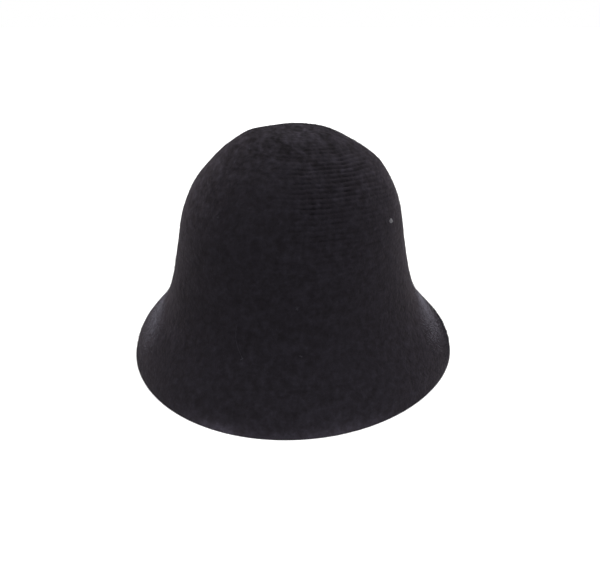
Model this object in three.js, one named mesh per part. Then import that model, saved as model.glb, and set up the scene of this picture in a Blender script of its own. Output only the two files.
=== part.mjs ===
// A bell-shaped bucket hat, knitted in one piece: the crown runs into the brim with no seam, band or lining.
// Millimetres, +Z up, the front of the hat towards -Y and the rim on z = 0.
// Azimuths are in degrees from the front towards +X. "Down" is measured along the outside from the crown's centre.

import * as THREE from "three";
import { ParametricGeometry } from "three/addons/geometries/ParametricGeometry.js";

const WALL = 3; // thickness of the knit
const SECTION_SPACING = 15; // down the outside, from one row of SECTIONS to the next

// The outside from the crown's centre to the rim. Lean is how far the ring's centre sits towards +X.
const SECTIONS = [
  { radius: 0, height: 176.5, lean: -1.7 },
  { radius: 15.0, height: 175.6, lean: -0.8 },
  { radius: 29.8, height: 173.4, lean: 0.2 },
  { radius: 43.1, height: 166.7, lean: 1.3 },
  { radius: 55.4, height: 158.2, lean: 2.4 },
  { radius: 65.9, height: 147.6, lean: 2.3 },
  { radius: 74.4, height: 135.4, lean: 2.1 },
  { radius: 80.4, height: 121.7, lean: 1.1 },
  { radius: 84.4, height: 107.3, lean: 0.2 },
  { radius: 86.9, height: 92.6, lean: 0.2 },
  { radius: 89.9, height: 78.0, lean: 0.1 },
  { radius: 93.4, height: 63.5, lean: 0.1 },
  { radius: 98.3, height: 49.5, lean: 0.1 },
  { radius: 106.1, height: 36.8, lean: 0.1 },
  { radius: 116.0, height: 25.7, lean: 0 },
  { radius: 125.0, height: 13.8, lean: 0 },
  { radius: 130.4, height: 0, lean: 0 },
];
const LENGTH = SECTION_SPACING * (SECTIONS.length - 1);

// The soft brim is not quite round: it reaches further out at the front. Reach is at the rim.
const WAVES = [
  { lobes: 2, reach: 1.0, azimuth: 8 },
  { lobes: 3, reach: 2.8, azimuth: -9 },
];
const WAVES_START = 150; // down the outside, where the brim leaves the crown

// Shallow unevenness of the soft shell. Rise is outwards, so a hollow has a negative one.
const DENTS = [
  { name: "full left shoulder", azimuth: -97, down: 91, rise: 0.8, across: 38, along: 12 },
  { name: "full right shoulder", azimuth: 97, down: 72, rise: 1.1, across: 34, along: 10 },
  { name: "hollow left side", azimuth: -97, down: 125, rise: -0.5, across: 41, along: 12 },
  { name: "flattened top", azimuth: -140, down: 24, rise: -1.2, across: 15, along: 12 },
  { name: "crease over the brim", azimuth: 4, down: 141, rise: -0.9, across: 30, along: 7 },
];

// The crown's axis, measured from the middle of the brim's outline.
const AXIS_X = -1.2;
const AXIS_Y = 2.5;

const AROUND = 72; // facets round the hat
const STEPS = 33; // facets down each side of the wall

const outline = new THREE.CatmullRomCurve3(
  SECTIONS.map(({ radius, height, lean }) => new THREE.Vector3(radius, lean, height)),
  false,
  "catmullrom",
  0.5,
);

// How far the waves push the brim outwards.
function waveReach(azimuth, down) {
  const share = Math.max(0, (down - WAVES_START) / (LENGTH - WAVES_START)) ** 1.5;
  return WAVES.reduce((sum, wave) => {
    const turn = THREE.MathUtils.degToRad(azimuth - wave.azimuth);
    return sum + share * wave.reach * Math.cos(wave.lobes * turn);
  }, 0);
}

// How far the dents move the wall along its outward normal.
function dentRise(azimuth, down, radius) {
  return DENTS.reduce((sum, dent) => {
    const turn = THREE.MathUtils.euclideanModulo(azimuth - dent.azimuth + 180, 360) - 180;
    const across = (THREE.MathUtils.degToRad(turn) * radius) / dent.across;
    const along = (down - dent.down) / dent.along;
    return sum + dent.rise * Math.exp(-(across ** 2) - along ** 2);
  }, 0);
}

// The point of the shell at an azimuth and a share of the way down, the given depth below the outside.
function shellPoint(azimuth, share, depth, target) {
  const down = share * LENGTH;
  const section = outline.getPoint(share);
  const slope = outline.getTangent(share);
  const normal = new THREE.Vector2(-slope.z, slope.x).normalize();
  const offset = dentRise(azimuth, down, section.x) - depth;
  const atCentre = down < 0.01; // where the crown closes to one point
  const radius = atCentre ? 0 : section.x + waveReach(azimuth, down) + offset * normal.x;
  const height = Math.max(0, section.z + offset * normal.y);
  const angle = THREE.MathUtils.degToRad(azimuth);
  return target.set(
    AXIS_X + section.y + radius * Math.sin(angle),
    AXIS_Y - radius * Math.cos(angle),
    height,
  );
}

// Around is 0 to 1 round the hat. Along runs down the outside, under the rim and up the inside.
function wallPoint(around, along, target) {
  const azimuth = 180 - 360 * around;
  const step = along * (2 * STEPS + 1);
  if (step <= STEPS) {
    return shellPoint(azimuth, step / STEPS, 0, target);
  }
  if (step >= STEPS + 1) {
    return shellPoint(azimuth, Math.max(0, (2 * STEPS + 1 - step) / STEPS), WALL, target);
  }
  return shellPoint(azimuth, 1, (step - STEPS) * WALL, target);
}

const knit = new THREE.MeshStandardMaterial({ color: "#29272b", roughness: 0.95, metalness: 0 });
const hat = new THREE.Mesh(new ParametricGeometry(wallPoint, AROUND, 2 * STEPS + 1), knit);
hat.name = "hat_body";

const group = new THREE.Group();
group.name = "knit_bucket_hat";
group.add(hat);

export default group;
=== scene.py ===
import math
import random
from collections import namedtuple

import bmesh
import bpy
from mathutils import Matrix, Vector, noise


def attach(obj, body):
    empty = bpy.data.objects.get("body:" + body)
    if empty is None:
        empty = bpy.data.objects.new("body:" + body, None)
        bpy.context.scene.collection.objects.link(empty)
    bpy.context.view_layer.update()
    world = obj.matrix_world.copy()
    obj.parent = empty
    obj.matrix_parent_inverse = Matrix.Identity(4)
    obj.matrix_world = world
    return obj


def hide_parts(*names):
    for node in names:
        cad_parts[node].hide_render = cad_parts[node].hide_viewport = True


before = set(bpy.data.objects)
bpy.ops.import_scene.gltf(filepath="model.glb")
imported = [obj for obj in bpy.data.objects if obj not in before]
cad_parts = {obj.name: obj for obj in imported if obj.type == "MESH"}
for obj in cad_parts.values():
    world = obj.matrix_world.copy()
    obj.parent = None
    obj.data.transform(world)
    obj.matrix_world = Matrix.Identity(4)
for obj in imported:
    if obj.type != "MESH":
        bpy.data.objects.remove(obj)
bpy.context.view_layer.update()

# The body is the whole hat, knitted round and round in one piece from the crown's centre to the rim.
# The yarn is a near-black wool, and each round of loops stands up as a soft ridge that the brushed
# pile mostly hides. The last round rolls over as a rounded rim and rests on the surface.
MM = 0.001

# The outside from the crown's centre to the rim, as one ring for each step down it. Sizes are in
# millimetres, and lean is how far the ring's centre sits towards +X.
Section = namedtuple("Section", "radius height lean")
SECTIONS = [
    Section(0, 176.5, -1.7),
    Section(15.0, 175.6, -0.8),
    Section(29.8, 173.4, 0.2),
    Section(43.1, 166.7, 1.3),
    Section(55.4, 158.2, 2.4),
    Section(65.9, 147.6, 2.3),
    Section(74.4, 135.4, 2.1),
    Section(80.4, 121.7, 1.1),
    Section(84.4, 107.3, 0.2),
    Section(86.9, 92.6, 0.2),
    Section(89.9, 78.0, 0.1),
    Section(93.4, 63.5, 0.1),
    Section(98.3, 49.5, 0.1),
    Section(106.1, 36.8, 0.1),
    Section(116.0, 25.7, 0),
    Section(125.0, 13.8, 0),
    Section(130.4, 0, 0),
]
SECTION_SPACING = 15
LENGTH = SECTION_SPACING * (len(SECTIONS) - 1)
WALL = 3
AXIS = Vector((-1.2, 2.5, 0))  # the crown's, from the middle of the brim's outline

# The soft brim is not quite round. Reach is how far a wave's lobes push the rim outwards.
Wave = namedtuple("Wave", "lobes reach azimuth")
WAVES = [Wave(2, 1.0, 8), Wave(3, 2.8, -9)]
BRIM_START = 150

# A zone is a soft-edged patch of the outside. Its azimuth is in degrees from the front towards +X, and
# its place down the outside and its two sizes are in millimetres.
Zone = namedtuple("Zone", "azimuth down strength across along")

# Dents and full places of the soft shell, with the rise in millimetres.
DENTS = [
    Zone(-97, 91, 0.8, 38, 12),
    Zone(97, 72, 1.1, 34, 10),
    Zone(-97, 125, -0.5, 41, 12),
    Zone(-140, 24, -1.2, 15, 12),
    Zone(4, 141, -0.9, 30, 7),
]

# The ridges of the knitted rounds, in millimetres from one to the next and from groove to ridge. The
# rounder they are, the narrower are the grooves. Most lie under the pile, and the zones say how much
# more clearly they show where it is worn.
RIDGE_PITCH = 3.55
RIDGE_HEIGHT = 0.8
RIDGE_ROUNDNESS = 2.4
RIDGES_SHOWING = 0.1
RIDGE_ZONES = [
    Zone(46, 80, 0.62, 34, 29),
    Zone(44, 58, 0.35, 30, 13),
    Zone(64, 92, 0.35, 14, 12),
    Zone(12, 82, 0.65, 18, 26),
    Zone(28, 118, 0.5, 26, 18),
    Zone(28, 213, 0.3, 20, 8),
    Zone(3, 210, 0.3, 12, 6),
    Zone(170, 95, 0.6, 50, 36),
    Zone(-150, 190, 0.35, 50, 20),
]
SAG = Zone(100, 80, 5, 60, 60)  # the rounds sag by up to this many millimetres

# A groove is a row of dashes, each about a stitch wide. They run together in one zone, and in another
# they stand in upright columns. The crown's shaping shows as deeper dashes on a slanting line.
STITCH_WIDTH = 4.5
DASH_UNEVENNESS = 1.3
NEXT_ROUND = 7.3  # how far on in the noise the next round's dashes lie, so that no two rounds are alike
LONG_DASHES = Zone(54, 80, 0.8, 26, 45)
DASH_COLUMNS = Zone(8, 78, 1.0, 16, 32)
COLUMNS_AROUND = 72
Shaping = namedtuple("Shaping", "azimuth down to_azimuth to_down across strength")
SHAPING = Shaping(40, 52, 24, 100, 2.5, 0.9)

# How much paler or darker than its plain tone of 1 the knit is painted: painted shade at the crown's foot, on
# the brim's outer strip and in the grooves, and painted highlights along the rim and where the brim's sides
# catch the light, but never darker than the least.
PAINTED_LIGHT_ZONES = [
    Zone(-60, 168, -0.3, 26, 16),
    Zone(62, 168, -0.3, 26, 16),
    Zone(-80, 236, -0.3, 34, 7),
    Zone(85, 234, -0.6, 45, 9),
    Zone(-22, 243, 3.3, 26, 8),
    Zone(15, 243, 2.4, 36, 8),
    Zone(0, 236, 0.25, 100, 16),
]
HIGHLIGHT_TONE = 0.35
GROOVE_SHADE = -0.25
LEAST_TONE = 0.2

# Where pale upright hairs stand as a painted highlight on the brim's sides, and where thick dark hairs stand
# as painted shade on its outer strip.
HIGHLIGHT_ZONES = [
    Zone(-85, 198, 0.8, 15, 9),
    Zone(-76, 203, 0.7, 16, 9),
    Zone(-71, 212, 0.3, 12, 8),
    Zone(86, 193, 1.1, 15, 8),
    Zone(79, 202, 0.78, 15, 8),
    Zone(73, 211, 0.35, 12, 8),
]
# Dense dark hairs as painted shade on the brim's outer strip.
SHADE_PILE_ZONES = [Zone(92, 230, 2.3, 48, 14), Zone(-74, 234, 0.6, 40, 9)]

# Brushing leaves the tone mottled and the surface finely lumpy, and the zones say where the mottle is
# strong. The shell has broad lumps too, and its rounds drift up and down. Each pattern is noise of one
# size in millimetres, as strong as its share, and a shift keeps two patterns of one kind apart.
Pattern = namedtuple("Pattern", "size share shift")
UNSHIFTED = Vector((0, 0, 0))
MOTTLES = [Pattern(9, 0.33, UNSHIFTED), Pattern(4.5, 0.5, Vector((6, 3, 1))), Pattern(2.5, 0.5, UNSHIFTED)]
MOTTLE_ZONES = [
    Zone(0, 0, 1.9, 400, 58),
    Zone(46, 80, 0.35, 34, 30),
    Zone(-70, 90, 1.6, 40, 50),
    Zone(85, 90, 0.6, 30, 60),
    Zone(-85, 195, 0.9, 60, 30),
    Zone(85, 195, 1.1, 60, 30),
]
BROAD_LUMPS = [Pattern(45, 0.35, UNSHIFTED), Pattern(17, 0.2, Vector((5, 9, 2)))]
FINE_LUMPS = [Pattern(5.5, 0.12, Vector((8, 2, 6)))]
DRIFTS = [Pattern(14, 0.9, UNSHIFTED), Pattern(5, 0.25, Vector((3, 1, 7)))]
RIM_CALM = 12  # above the rim, the unevenness dies away over this many millimetres
CENTRE_CALM = 20  # and the drift of the rounds over this many from the crown's centre

# The brush draws the mottle and the fine lumps out from front to back: over the crown's middle they are
# 1 / (1 - NAP_STRETCH) times as long, and less so over NAP_REACH millimetres to the front and the back.
NAP_STRETCH = 0.55
NAP_REACH = 62

# How finely the wall is divided down the outside, round the rim, up the inside and round the hat.
RINGS_PER_RIDGE = 5
RIM_RINGS = 6
INSIDE_RINGS = 48
AROUND = 240
WELD = 0.01  # points nearer to each other than this, in millimetres, are made one


def section_at(down):
    """The section at a distance down the outside, on a smooth curve through the given ones."""
    place = down / SECTION_SPACING
    index = min(int(place), len(SECTIONS) - 2)
    share = place - index
    here, following = Vector(SECTIONS[index]), Vector(SECTIONS[index + 1])
    before = Vector(SECTIONS[index - 1]) if index else 2 * here - following
    last = index + 2 == len(SECTIONS)
    after = 2 * following - here if last else Vector(SECTIONS[index + 2])
    curve = 0.5 * (
        2 * here
        + (following - before) * share
        + (2 * before - 5 * here + 4 * following - after) * share**2
        + (3 * here - before - 3 * following + after) * share**3
    )
    return Section(*curve)


def slope_at(down):
    """The direction down the outside, as a unit vector of radius and height."""
    step = 0.5
    above, below = section_at(max(down - step, 0)), section_at(min(down + step, LENGTH))
    return Vector((below.radius - above.radius, below.height - above.height)).normalized()


def azimuth_of(place):
    """The azimuth of a point of the plain spun wall, in radians from the front towards +X."""
    return math.atan2(place.x, -place.y)


def wave_reach(azimuth, down):
    """How far the brim's waves push it outwards."""
    share = max(0, (down - BRIM_START) / (LENGTH - BRIM_START)) ** 1.5
    return share * sum(w.reach * math.cos(w.lobes * (azimuth - math.radians(w.azimuth))) for w in WAVES)


def bell(zone, azimuth, down, radius):
    """A smooth hump of height 1 over a zone's middle, falling off with the zone's two sizes."""
    turn = (azimuth - math.radians(zone.azimuth) + math.pi) % math.tau - math.pi
    across = turn * radius / zone.across
    along = (down - zone.down) / zone.along
    return math.exp(-(across**2) - along**2)


def strength_of(zones, azimuth, down, radius):
    """The strength of all the zones together at a spot of the outside."""
    return sum(zone.strength * bell(zone, azimuth, down, radius) for zone in zones)


def pattern_at(patterns, place):
    """The value of some patterns of noise together at a place."""
    return sum(p.share * noise.noise(place / p.size + p.shift) for p in patterns)


def nap_place(place):
    """Where a spot lies in the pile's pattern, which brushing has drawn out from front to back."""
    drawn_out = NAP_STRETCH * NAP_REACH * math.sqrt(math.pi) / 2 * math.erf(place.y / NAP_REACH)
    return Vector((place.x, place.y - drawn_out, place.z))


def shaping_dots(azimuth, down, radius):
    """How much deeper the grooves are along the slanting line where the crown was shaped."""
    share = (down - SHAPING.down) / (SHAPING.to_down - SHAPING.down)
    if not 0 <= share <= 1:
        return 0
    line = math.radians(SHAPING.azimuth + share * (SHAPING.to_azimuth - SHAPING.azimuth))
    return SHAPING.strength * math.exp(-(((azimuth - line) * radius / SHAPING.across) ** 2))


def ridges_showing(azimuth, down, radius):
    """How clearly the ridges show through the pile."""
    return RIDGES_SHOWING + strength_of(RIDGE_ZONES, azimuth, down, radius)


def groove_depth(azimuth, down, place):
    """How deep the groove between two ridges is, from 0 on a ridge, broken into dashes."""
    radius = place.xy.length
    level = (down - strength_of([SAG], azimuth, down, radius)) / RIDGE_PITCH
    number = round(level)
    groove = (1 - 2 * abs(level - number)) ** RIDGE_ROUNDNESS
    uneven = noise.noise(Vector((place.x / STITCH_WIDTH, place.y / STITCH_WIDTH, number * NEXT_ROUND)))
    unevenness = DASH_UNEVENNESS - strength_of([LONG_DASHES], azimuth, down, radius)
    columns = strength_of([DASH_COLUMNS], azimuth, down, radius) * math.cos(COLUMNS_AROUND * azimuth)
    dash = 1 + unevenness * uneven + columns + shaping_dots(azimuth, down, radius)
    return groove * max(0, dash) * ridges_showing(azimuth, down, radius)


def ridge_rise(azimuth, down, place):
    """How far the wall stands out from its middle, so that the ridges leave its mean thickness as it was."""
    mean = ridges_showing(azimuth, down, place.xy.length) / (RIDGE_ROUNDNESS + 1)
    return RIDGE_HEIGHT * (mean - groove_depth(azimuth, down, place))


def tone_at(place, down, depth):
    """How pale the knit is beside its plain tone of 1, with painted shade and painted highlights laid into
    it.
    """
    azimuth, radius = azimuth_of(place), place.xy.length
    # Painted shade at the crown's foot and on the brim's outer strip, and a painted highlight along the rim.
    tone = 1 + strength_of(PAINTED_LIGHT_ZONES, azimuth, down, radius)
    # A painted highlight where the brim's sides catch the light.
    tone += HIGHLIGHT_TONE * strength_of(HIGHLIGHT_ZONES, azimuth, down, radius)
    if depth == 0:
        # Painted shade in the grooves between the ridges.
        tone *= max(LEAST_TONE, 1 + GROOVE_SHADE * groove_depth(azimuth, down, place))
    mottle = pattern_at(MOTTLES, nap_place(place)) * strength_of(MOTTLE_ZONES, azimuth, down, radius)
    return tone * max(LEAST_TONE, 1 + mottle)


def wall_rings():
    """Each ring of the wall as (down, depth): down the outside, round the rim and up the inside."""
    rim = WALL / 2
    outside = round(LENGTH / RIDGE_PITCH * RINGS_PER_RIDGE)
    rings = [((LENGTH - rim) * i / outside, 0) for i in range(outside + 1)]
    for i in range(1, RIM_RINGS):
        angle = math.pi * i / RIM_RINGS
        rings.append((LENGTH - rim + rim * math.sin(angle), rim - rim * math.cos(angle)))
    rings += [((LENGTH - rim) * (1 - i / INSIDE_RINGS), WALL) for i in range(INSIDE_RINGS + 1)]
    return rings


def shaped(place, down, depth):
    """Where a point of the plain spun wall lies on the real hat, in millimetres."""
    azimuth, radius = azimuth_of(place), place.xy.length
    slope = slope_at(down)
    outward = Vector((place.x, place.y, 0)) / max(radius, 1)  # it dies away close to the crown's centre
    normal = outward * -slope[1] + Vector((0, 0, slope[0]))
    tangent = outward * slope[0] + Vector((0, 0, slope[1]))
    calm = min(1, (LENGTH - down) / RIM_CALM)
    lumps = pattern_at(BROAD_LUMPS, place) + pattern_at(FINE_LUMPS, nap_place(place))
    offset = strength_of(DENTS, azimuth, down, radius) + calm * lumps - depth
    if depth == 0:
        offset += ridge_rise(azimuth, down, place)
    drift = pattern_at(DRIFTS, place) * calm * min(1, radius / CENTRE_CALM)
    moved = place + normal * offset + tangent * drift + outward * wave_reach(azimuth, down)
    moved.x += section_at(down).lean
    moved.z = max(0, moved.z)
    return moved + AXIS


def face_order(face):
    """A number that sorts the faces alike in every run, by their three lowest corners."""
    lowest, middle, highest = sorted(vert.index for vert in face.verts)[:3]
    count = len(body.verts)
    return (lowest * count + middle) * count + highest


body = bmesh.new()
down_layer, depth_layer, tone_layer, everywhere_layer, highlight_layer, shade_layer = [
    body.verts.layers.float.new(name) for name in ("down", "depth", "tone", "everywhere", "painted_highlight", "painted_shade")
]
nap_layer = body.verts.layers.float_vector.new("nap")
chain = []
for down, depth in wall_rings():
    section = section_at(down)
    corner = body.verts.new((section.radius, 0, section.height))
    corner[down_layer] = down
    corner[depth_layer] = depth
    chain.append(corner)
edges = [body.edges.new(pair) for pair in zip(chain, chain[1:])]
bmesh.ops.spin(
    body, geom=chain + edges, cent=(0, 0, 0), axis=(0, 0, 1), angle=math.tau, steps=AROUND, use_merge=True
)
for vert in body.verts:
    down, depth = vert[down_layer], vert[depth_layer]
    azimuth, radius = azimuth_of(vert.co), vert.co.xy.length
    vert[tone_layer] = tone_at(vert.co, down, depth)
    vert[everywhere_layer] = 1
    # Where pale hairs paint a highlight on the brim's sides.
    vert[highlight_layer] = strength_of(HIGHLIGHT_ZONES, azimuth, down, radius)
    # Where dense dark hairs paint shade on the brim's outer strip.
    vert[shade_layer] = strength_of(SHADE_PILE_ZONES, azimuth, down, radius)
    vert[nap_layer] = nap_place(vert.co)
    vert.co = shaped(vert.co, down, depth)
bmesh.ops.remove_doubles(body, verts=body.verts, dist=WELD)
bmesh.ops.scale(body, vec=(MM, MM, MM), verts=body.verts)
bmesh.ops.recalc_face_normals(body, faces=body.faces)
for face in body.faces:
    face.smooth = True
# The weld leaves the faces in an order of chance. Sorted, they grow the same pile in every run.
body.verts.index_update()
body.faces.sort(key=face_order)
hat_mesh = bpy.data.meshes.new("hat_body_knit")
body.to_mesh(hat_mesh)
body.free()
hat = bpy.data.objects.new("hat_body_knit", hat_mesh)
bpy.context.collection.objects.link(hat)


def linear(hex_colour):
    """A hex sRGB colour as the linear colour that a shader reads."""
    channels = [int(hex_colour[i : i + 2], 16) / 255 for i in (1, 3, 5)]
    return [c / 12.92 if c <= 0.04045 else ((c + 0.055) / 1.055) ** 2.4 for c in channels] + [1]


def add_node(tree, kind, inputs=None, **settings):
    """Add a node with its settings. Each input, by name or number, gets a value or another node's socket."""
    node = tree.nodes.new(kind)
    for name, value in settings.items():
        setattr(node, name, value)
    for key, value in (inputs or {}).items():
        if isinstance(value, bpy.types.NodeSocket):
            tree.links.new(value, node.inputs[key])
        else:
            node.inputs[key].default_value = value
    return node


# Brushed wool knit: nearly black head-on, and a soft grey with a breath of mauve where it is seen
# edge-on. The loops are 4.8 mm blobs, coarser than real ones so that they show.
LOOP_SIZE = 4.8
LOOP_RELIEF = 1.0
brushed_wool = bpy.data.materials.new("brushed_black_wool_knit")
brushed_wool.use_nodes = True
wool = brushed_wool.node_tree
wool.nodes.clear()
nap = add_node(wool, "ShaderNodeAttribute", attribute_name="nap").outputs["Vector"]
loops = add_node(
    wool, "ShaderNodeTexNoise", {"Vector": nap, "Scale": 1 / LOOP_SIZE, "Detail": 2.6, "Roughness": 0.75}
).outputs[0]
spread = add_node(wool, "ShaderNodeMapRange", {"Value": loops, "From Min": 0.25, "From Max": 0.8}).outputs[0]
tips = add_node(wool, "ShaderNodeMath", {0: spread, 1: 1.5}, operation="POWER").outputs[0]
yarn = add_node(
    wool, "ShaderNodeMix", {"Factor": tips, 6: linear("#131114"), 7: linear("#222026")}, data_type="RGBA"
).outputs[2]
# The tone layer carries painted shade and painted highlights besides the knit's own mottle.
tone = add_node(wool, "ShaderNodeAttribute", attribute_name="tone").outputs["Fac"]
colour = add_node(wool, "ShaderNodeVectorMath", {0: yarn, "Scale": tone}, operation="SCALE").outputs[0]
relief = add_node(wool, "ShaderNodeBump", {"Distance": LOOP_RELIEF * MM, "Height": loops}).outputs[0]
surface = add_node(
    wool,
    "ShaderNodeBsdfPrincipled",
    {
        "Base Color": colour,
        "Roughness": 0.95,
        "Specular IOR Level": 0.05,
        "Sheen Weight": 0.047,
        "Sheen Roughness": 0.5,
        "Sheen Tint": linear("#f9e5f4"),
        "Normal": relief,
    },
).outputs[0]
add_node(wool, "ShaderNodeOutputMaterial", {"Surface": surface})
hat_mesh.materials.append(brushed_wool)
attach(hat, "root")
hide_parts("hat_body")

# The pile is the fibres that brushing has raised from the yarn, lying over the loops in every direction.
# Each is a thin curled hair of wool rooted in the knit, thicker than a real one so that it shows.
# It covers the crown and the brim, with pale upright hairs as a painted highlight on the brim's sides and
# more dark ones as painted shade on its outer strip.
FIBRE_THICKNESS = 0.11 * MM
FIBRE_LENGTH = 2.6 * MM
FIBRE_ROOT = 0.15 * MM
SHORTEST_FIBRE = 0.5  # of the length above
LONGEST_FIBRE = 1.3
SWIRL_SIZE = 3 * MM
ON_OUTSIDE = 0.01  # a depth below the outside, in millimetres, that still counts as on it
PILE_END = LENGTH - 4.5  # leaves room under the lowest hairs, so that none passes into the surface

# Where names the layer of the hat's mesh that says how dense a pile is. Size scales its hairs, and they
# lean from upright by a number of degrees between the least and the most.
Pile = namedtuple("Pile", "name from_down to_down per_square_metre size least_lean most_lean where seed")
PILES = [
    Pile("crown_pile", -1, BRIM_START, 260000, 1.0, 52, 84, "everywhere", 3),
    Pile("brim_pile", BRIM_START, PILE_END, 250000, 1.0, 52, 84, "everywhere", 8),
    # Pale upright hairs as a painted highlight.
    Pile("painted_highlight_pile", BRIM_START, PILE_END, 4800000, 0.6, 5, 35, "painted_highlight", 5),
    # Dense dark hairs as painted shade.
    Pile("painted_shade_pile", BRIM_START, PILE_END, 2000000, 1.0, 52, 84, "painted_shade", 7),
]


def scattered_roots(tree, pile, shell):
    """Scatter the hairs' roots over the pile's stretch of the outside, as densely as its layer says."""
    down, depth, layer = [
        add_node(tree, "GeometryNodeInputNamedAttribute", {"Name": name}, data_type="FLOAT").outputs[0]
        for name in ("down", "depth", pile.where)
    ]
    below, above, outside = [
        add_node(tree, "FunctionNodeCompare", {0: value, 1: limit}, operation=operation).outputs[0]
        for value, operation, limit in (
            (down, "GREATER_THAN", pile.from_down),
            (down, "LESS_THAN", pile.to_down),
            (depth, "LESS_THAN", ON_OUTSIDE),
        )
    ]
    stretch = add_node(tree, "FunctionNodeBooleanMath", {0: below, 1: above}).outputs[0]
    chosen = add_node(tree, "FunctionNodeBooleanMath", {0: stretch, 1: outside}).outputs[0]
    density = add_node(tree, "ShaderNodeMath", {0: layer, 1: pile.per_square_metre}, operation="MULTIPLY")
    return add_node(
        tree,
        "GeometryNodeDistributePointsOnFaces",
        {"Mesh": shell, "Selection": chosen, "Density": density.outputs[0], "Seed": pile.seed},
    )


def straight_hair(tree):
    """One straight hair that stands on its root, with the height of each of its points kept as "along"."""
    cone = {
        "Vertices": 3,
        "Side Segments": 2,
        "Radius Top": 0.0,
        "Radius Bottom": FIBRE_THICKNESS / 2,
        "Depth": FIBRE_LENGTH,
    }
    hair = add_node(tree, "GeometryNodeMeshCone", cone, fill_type="NGON").outputs[0]
    position = add_node(tree, "GeometryNodeInputPosition").outputs[0]
    height = add_node(tree, "ShaderNodeSeparateXYZ", {"Vector": position}).outputs["Z"]
    return add_node(
        tree,
        "GeometryNodeStoreNamedAttribute",
        {"Geometry": hair, "Name": "along", "Value": height},
        data_type="FLOAT",
        domain="POINT",
    ).outputs[0]


def hairs_on(tree, pile, roots, hair):
    """Sink the roots a little and stand a hair on each, leaning to a side and of a length by chance."""
    points, normal, facing = roots.outputs
    inward = {0: normal, "Scale": -FIBRE_ROOT}
    sink = add_node(tree, "ShaderNodeVectorMath", inward, operation="SCALE").outputs[0]
    sunk = add_node(tree, "GeometryNodeSetPosition", {"Geometry": points, "Offset": sink}).outputs[0]
    leans = {
        0: (math.radians(pile.least_lean), 0, 0),
        1: (math.radians(pile.most_lean), 0, math.tau),
        "Seed": 1,
    }
    lean = add_node(tree, "FunctionNodeRandomValue", leans, data_type="FLOAT_VECTOR").outputs[0]
    lean_turn = add_node(tree, "FunctionNodeEulerToRotation", {"Euler": lean}).outputs[0]
    turned = add_node(
        tree,
        "FunctionNodeRotateRotation",
        {"Rotation": facing, "Rotate By": lean_turn},
        rotation_space="LOCAL",
    ).outputs[0]
    sizes = {2: SHORTEST_FIBRE * pile.size, 3: LONGEST_FIBRE * pile.size, "Seed": 2}
    size = add_node(tree, "FunctionNodeRandomValue", sizes, data_type="FLOAT").outputs[1]
    stood = add_node(
        tree,
        "GeometryNodeInstanceOnPoints",
        {"Points": sunk, "Instance": hair, "Rotation": turned, "Scale": size},
    ).outputs[0]
    return add_node(tree, "GeometryNodeRealizeInstances", {"Geometry": stood}).outputs[0]


def curled(tree, hairs):
    """Bend the hairs sideways, the further along them the more, with neighbours bending alike."""
    position = add_node(tree, "GeometryNodeInputPosition").outputs[0]
    swirl_inputs = {"Vector": position, "Scale": 1 / SWIRL_SIZE, "Detail": 0.0}
    swirl = add_node(tree, "ShaderNodeTexNoise", swirl_inputs).outputs[1]
    both_ways = add_node(tree, "ShaderNodeVectorMath", {0: swirl, 1: (0.5, 0.5, 0.5)}, operation="SUBTRACT")
    along = add_node(tree, "GeometryNodeInputNamedAttribute", {"Name": "along"}, data_type="FLOAT").outputs[0]
    curl_inputs = {0: both_ways.outputs[0], "Scale": along}
    curl = add_node(tree, "ShaderNodeVectorMath", curl_inputs, operation="SCALE").outputs[0]
    return add_node(tree, "GeometryNodeSetPosition", {"Geometry": hairs, "Offset": curl}).outputs[0]


def pile_tree(pile):
    """The nodes that turn a copy of the hat into the hairs that stand on one stretch of its outside."""
    tree = bpy.data.node_groups.new(pile.name, "GeometryNodeTree")
    tree.interface.new_socket("Geometry", in_out="INPUT", socket_type="NodeSocketGeometry")
    tree.interface.new_socket("Geometry", in_out="OUTPUT", socket_type="NodeSocketGeometry")
    shell = add_node(tree, "NodeGroupInput").outputs[0]
    roots = scattered_roots(tree, pile, shell)
    hairs = hairs_on(tree, pile, roots, straight_hair(tree))
    add_node(tree, "NodeGroupOutput", {0: curled(tree, hairs)})
    return tree


def fibre_material(name, hex_colour):
    """Loose wool fibre in one colour: dull, with no sheen of its own, so that the knit's sheen stays even."""
    fibre = bpy.data.materials.new(name)
    fibre.use_nodes = True
    shader = fibre.node_tree.nodes["Principled BSDF"]
    shader.inputs["Base Color"].default_value = linear(hex_colour)
    shader.inputs["Roughness"].default_value = 0.95
    shader.inputs["Specular IOR Level"].default_value = 0.05
    return fibre


def ride_on_hat(name, mesh, material):
    """Make a mesh of one material an extra piece that rides on the hat."""
    mesh.name = name
    mesh.materials.clear()
    mesh.materials.append(material)
    piece = bpy.data.objects.new(name, mesh)
    bpy.context.collection.objects.link(piece)
    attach(piece, "root")


def evaluated_mesh(piece):
    """The mesh that a linked object's modifiers or curves make. The object itself is removed."""
    shown = piece.evaluated_get(bpy.context.evaluated_depsgraph_get())
    mesh = bpy.data.meshes.new_from_object(shown)
    bpy.data.objects.remove(piece)
    return mesh


dark_fibre = fibre_material("black_wool_fibre", "#242228")
# Pale hairs that paint a highlight on the brim's sides.
highlight_fibre = fibre_material("painted_highlight_fibre", "#82808a")
for pile in PILES:
    ground = bpy.data.objects.new(pile.name, hat_mesh)
    bpy.context.collection.objects.link(ground)
    ground.modifiers.new("raised_fibres", "NODES").node_group = pile_tree(pile)
    ride_on_hat(pile.name, evaluated_mesh(ground), highlight_fibre if pile.where == "painted_highlight" else dark_fibre)

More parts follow.
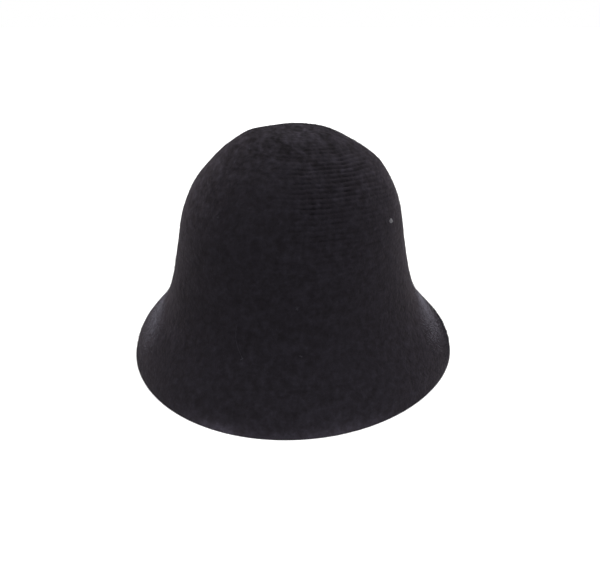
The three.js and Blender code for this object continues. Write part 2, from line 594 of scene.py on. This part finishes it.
# Lint and loose wool are caught in the pile: one pale fleck of matted lint on the right of the crown,
# small crossed wisps of grey fibre on the front, and one long fibre that curls down the brim.
Fleck = namedtuple("Fleck", "azimuth down width")
PALE_FLECK = Fleck(58, 108.2, 3.1)
FLECK_LUMPINESS = 0.5
FLECK_LUMPS_PER_MM = 2.5
Spot = namedtuple("Spot", "azimuth down")
LONG_FIBRE = [Spot(-22, 168), Spot(-23, 176), Spot(-21, 183), Spot(-18, 189)]
WISPS = [
    Spot(-47, 59),
    Spot(-39, 99),
    Spot(-42, 45),
    Spot(3, 154),
    Spot(4, 186),
    Spot(-18, 190),
    Spot(63, 216),
]
FIBRES_PER_WISP = 5
WISP_WIDTH = 3.0
WISP_REACHES = (0.6, 1.2)  # the least and the most that a fibre reaches, as a share of half the width
WISP_BEND = 0.5  # the most that it bends to either side, as a share of its reach
LOOSE_FIBRE_THICKNESS = 0.2
LOOSE_FIBRE_STAND = 0.3


def spot_outside(azimuth_degrees, down, above=0):
    """The place of a spot of the outside in millimetres, or a little above it."""
    section = section_at(down)
    azimuth = math.radians(azimuth_degrees)
    plain = Vector((math.sin(azimuth) * section.radius, -math.cos(azimuth) * section.radius, section.height))
    return shaped(plain, down, -above)


lint = bmesh.new()
fleck_place = spot_outside(PALE_FLECK.azimuth, PALE_FLECK.down)
for vert in bmesh.ops.create_icosphere(lint, subdivisions=3, radius=PALE_FLECK.width / 2)["verts"]:
    lump = FLECK_LUMPINESS * noise.noise(vert.co * FLECK_LUMPS_PER_MM + fleck_place)
    vert.co = vert.co * (1 + lump) + fleck_place
bmesh.ops.scale(lint, vec=(MM, MM, MM), verts=lint.verts)
lint_mesh = bpy.data.meshes.new("lint_fleck")
lint.to_mesh(lint_mesh)
lint.free()
ride_on_hat("lint_fleck", lint_mesh, fibre_material("matted_pale_lint", "#646366"))

loose = bpy.data.curves.new("loose_fibres", "CURVE")
loose.dimensions = "3D"
loose.bevel_depth = LOOSE_FIBRE_THICKNESS / 2 * MM
loose.bevel_resolution = 0
loose.resolution_u = 4
loose.use_fill_caps = True


def lay_fibre(spots):
    """Lay one curling fibre just above the outside, by the spots in turn."""
    strand = loose.splines.new("NURBS")
    strand.points.add(len(spots) - 1)
    for point, spot in zip(strand.points, spots):
        point.co = (*spot_outside(spot.azimuth, spot.down, above=LOOSE_FIBRE_STAND) * MM, 1)
    strand.use_endpoint_u = True
    strand.order_u = min(4, len(spots))


lay_fibre(LONG_FIBRE)
chance = random.Random(21)
for wisp in WISPS:
    degree = math.radians(section_at(wisp.down).radius)  # millimetres round the hat to one degree
    for _ in range(FIBRES_PER_WISP):
        turn = chance.uniform(0, math.tau)
        reach = WISP_WIDTH / 2 * chance.uniform(*WISP_REACHES)
        bend = chance.uniform(-WISP_BEND, WISP_BEND)
        step = Vector((math.cos(turn), math.sin(turn))) * reach
        side = Vector((-step.y, step.x)) * bend
        lay_fibre([Spot(wisp.azimuth + at.x / degree, wisp.down + at.y) for at in (-step, side, step)])

loose_path = bpy.data.objects.new("loose_fibre_path", loose)
bpy.context.collection.objects.link(loose_path)
loose_mesh = evaluated_mesh(loose_path)
tubes = bmesh.new()
tubes.from_mesh(loose_mesh)
bmesh.ops.remove_doubles(tubes, verts=tubes.verts, dist=WELD * MM)
bmesh.ops.recalc_face_normals(tubes, faces=tubes.faces)
tubes.to_mesh(loose_mesh)
tubes.free()
ride_on_hat("loose_fibres", loose_mesh, fibre_material("loose_grey_wool", "#333137"))

# The floor is a plain white sheet of matt paper, far wider than the picture, with no edge in sight.
FLOOR_REACH = 6  # metres
floor_mesh = bpy.data.meshes.new("floor")
sheet = bmesh.new()
bmesh.ops.create_grid(sheet, x_segments=1, y_segments=1, size=FLOOR_REACH)
sheet.to_mesh(floor_mesh)
sheet.free()
floor = bpy.data.objects.new("floor", floor_mesh)
bpy.context.collection.objects.link(floor)
white_paper = bpy.data.materials.new("matt_white_paper")
white_paper.use_nodes = True
paper = white_paper.node_tree.nodes["Principled BSDF"]
paper.inputs["Base Color"].default_value = linear("#fafafa")
paper.inputs["Roughness"].default_value = 1.0
floor_mesh.materials.append(white_paper)

# The light is a white room with three broad soft lamps: overhead, high behind the hat, and in front of
# it on the right. Angles are in degrees.
WHITE = linear("#ffffff")
world = bpy.data.worlds.new("white_room")
bpy.context.scene.world = world
world.use_nodes = True
room = world.node_tree
room.nodes.clear()
seen = add_node(room, "ShaderNodeLightPath").outputs["Is Camera Ray"]
fill, backdrop = [
    add_node(room, "ShaderNodeBackground", {"Color": WHITE, "Strength": strength}).outputs[0]
    for strength in (0.1, 1.0)
]
room_light = add_node(room, "ShaderNodeMixShader", {0: seen, 1: fill, 2: backdrop}).outputs[0]
add_node(room, "ShaderNodeOutputWorld", {"Surface": room_light})

Lamp = namedtuple("Lamp", "name azimuth elevation strength")
LAMPS = [
    Lamp("top_light", 0, 90, 2.7),
    Lamp("back_light", 180, 60, 1.9),
    Lamp("front_right_light", 45, 40, 1.45),
]
LAMP_SPREAD = math.radians(45)
for lamp in LAMPS:
    light = bpy.data.lights.new(lamp.name, "SUN")
    light.angle = LAMP_SPREAD
    light.energy = lamp.strength
    stand = bpy.data.objects.new(lamp.name, light)
    bpy.context.collection.objects.link(stand)
    azimuth, elevation = math.radians(lamp.azimuth), math.radians(lamp.elevation)
    level = math.cos(elevation)
    stand.location = (math.sin(azimuth) * level, -math.cos(azimuth) * level, math.sin(elevation))
    stand.rotation_euler = (-stand.location).to_track_quat("-Z", "Y").to_euler()

# The camera stands a little over half a metre from the hat and looks down on it by 24 degrees. It is
# aimed to the right of the crown's axis, so that the hat lies left of the picture's middle.
PHOTO_WIDTH = 600
FOCAL_PIXELS = 645.3
CAMERA_DISTANCE = 518 * MM
CAMERA_ELEVATION = math.radians(23.98)
AIM_RIGHT = 6.7
AIM_HEIGHT = 50.6
aim = Vector((AXIS.x + AIM_RIGHT, AXIS.y, AIM_HEIGHT)) * MM
camera = bpy.data.cameras.new("camera")
camera.sensor_width = 36
camera.lens = camera.sensor_width * FOCAL_PIXELS / PHOTO_WIDTH
camera_stand = bpy.data.objects.new("camera", camera)
bpy.context.collection.objects.link(camera_stand)
back = Vector((0, -math.cos(CAMERA_ELEVATION), math.sin(CAMERA_ELEVATION)))
camera_stand.location = aim + back * CAMERA_DISTANCE
camera_stand.rotation_euler = (-back).to_track_quat("-Z", "Y").to_euler()
bpy.context.scene.camera = camera_stand
bpy.context.scene.view_settings.view_transform = "Standard"
